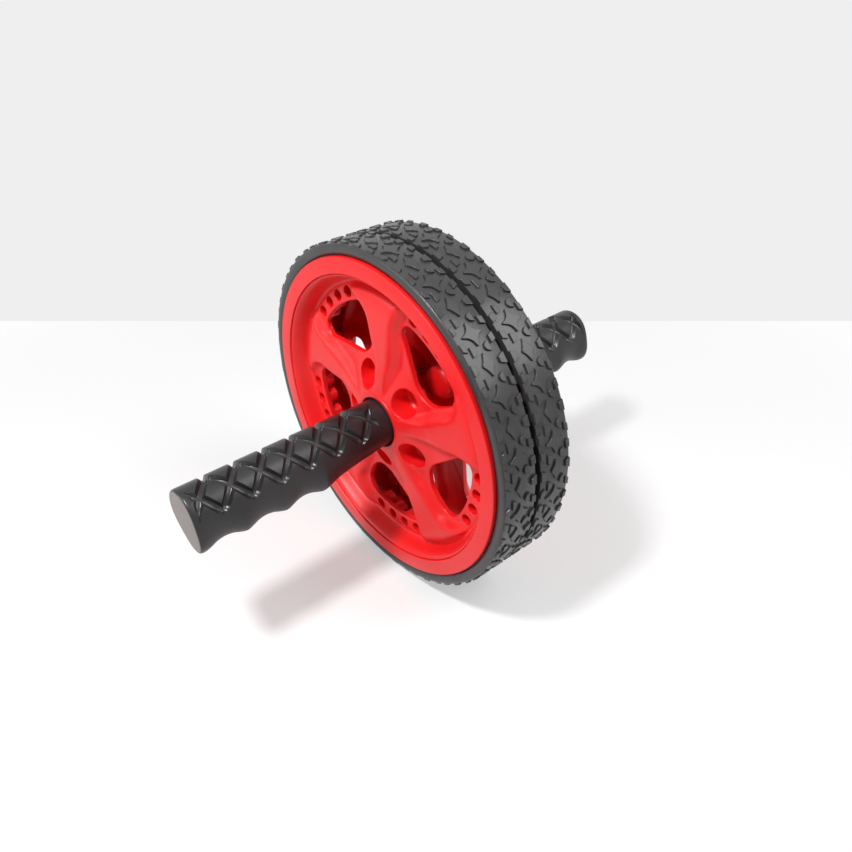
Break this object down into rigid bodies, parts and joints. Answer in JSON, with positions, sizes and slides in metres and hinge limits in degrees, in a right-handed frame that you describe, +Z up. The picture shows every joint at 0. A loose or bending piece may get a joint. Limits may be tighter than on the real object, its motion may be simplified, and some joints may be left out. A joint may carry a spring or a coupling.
{
  "type": "ab wheel roller",
  "caption": "Ab wheel roller: side-by-side spoked wheels with treaded rubber tyres turning on a steel axle between shaped rubber hand grips.",
  "frame": {"origin": "middle of the axle, midway between the two tyres", "axes": "+Y along the axle towards the rear grip, +Z up, the tyres touch the ground at Z = -90 mm"},
  "size_m": [0.18, 0.248, 0.18],
  "materials": {
    "red_plastic": "satin moulded plastic",
    "tyre_rubber": "moulded rubber with raised tread",
    "grip_rubber": "satin moulded rubber",
    "axle_steel": "drawn bar",
    "fastener_steel": "zinc plated",
    "bush_plastic": "natural acetal",
    "core_plastic": "plain moulded"
  },
  "bodies": {
    "handlebar": {"axle_rod": "axle_steel", "centre_spacer": "bush_plastic", "thrust_washer_front": "fastener_steel", "retaining_ring_front": "fastener_steel", "grip_core_front": "core_plastic", "screw_washer_front": "fastener_steel", "grip_screw_front": "fastener_steel", "grip_sleeve_front": "grip_rubber", "thrust_washer_rear": "fastener_steel", "retaining_ring_rear": "fastener_steel", "grip_core_rear": "core_plastic", "screw_washer_rear": "fastener_steel", "grip_screw_rear": "fastener_steel", "grip_sleeve_rear": "grip_rubber"},
    "front_wheel": {"wheel_front": "red_plastic", "tyre_front": "tyre_rubber", "bush_front_inner": "bush_plastic", "bush_front_outer": "bush_plastic"},
    "rear_wheel": {"wheel_rear": "red_plastic", "tyre_rear": "tyre_rubber", "bush_rear_inner": "bush_plastic", "bush_rear_outer": "bush_plastic"}
  },
  "joints": [
    {"name": "front_wheel_spin", "type": "hinge", "parent": "handlebar", "child": "front_wheel", "pos_m": [0, -0.011, 0], "axis": [0, 1, 0], "continuous": true},
    {"name": "rear_wheel_spin", "type": "hinge", "parent": "handlebar", "child": "rear_wheel", "pos_m": [0, 0.011, 0], "axis": [0, 1, 0], "continuous": true}
  ]
}
